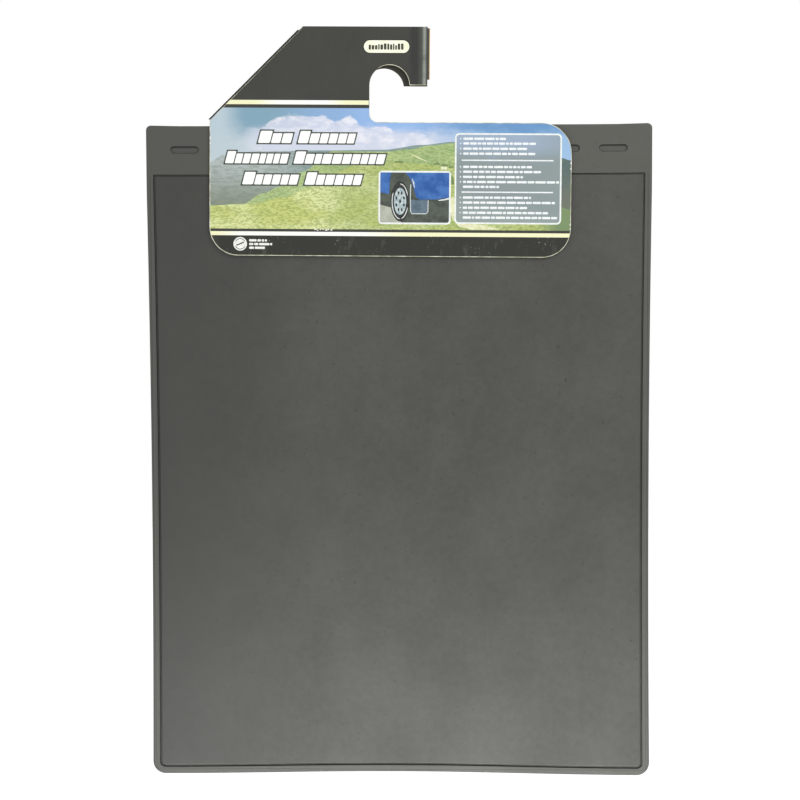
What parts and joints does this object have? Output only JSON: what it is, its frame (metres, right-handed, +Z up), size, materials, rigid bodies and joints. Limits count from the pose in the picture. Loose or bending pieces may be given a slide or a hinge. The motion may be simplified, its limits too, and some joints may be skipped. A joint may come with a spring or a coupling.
{
  "type": "mud flap",
  "caption": "Rectangular moulded rubber mud flap with a raised rim, a header band with a row of blind bolt slots, and a hooked retail header card.",
  "frame": {"origin": "centre of the slot row, on the flap's flat rear face", "axes": "+X across the flap to the right seen from the show face, -Y out of the show face, +Z up"},
  "size_m": [0.3556, 0.006, 0.5302],
  "materials": {
    "flap_rubber": "matt moulded, faint scuffs",
    "backing_rubber": "matt, fine mat-moulded texture",
    "glass_scrim": "open woven glass fibre",
    "printed_board": "gloss litho print",
    "kraft_flute": "raw kraft",
    "dark_liner": "raw dark liner",
    "card_glue": "dried glue film",
    "peel_glue": "peelable tacky dot"
  },
  "bodies": {
    "mounted_top": {"upper_facing": "flap_rubber", "upper_scrim": "glass_scrim", "upper_backing": "backing_rubber"},
    "swinging_flap": {"lower_facing": "flap_rubber", "lower_scrim": "glass_scrim", "lower_backing": "backing_rubber"},
    "header_card": {"card_print_sheet": "printed_board", "card_flute": "kraft_flute", "card_liner": "dark_liner", "hook_glue": "card_glue", "glue_dots": "peel_glue"}
  },
  "joints": [
    {"name": "flap_flex", "type": "hinge", "parent": "mounted_top", "child": "swinging_flap", "pos_m": [0, -0.002, -0.135], "axis": [-1, 0, 0], "range_deg": [-40, 60], "stiffness_Nm_per_rad": 0.5},
    {"name": "header_peel", "type": "slide", "parent": "mounted_top", "child": "header_card", "axis": [0, -1, 0], "range_m": [0, 0.15]}
  ]
}
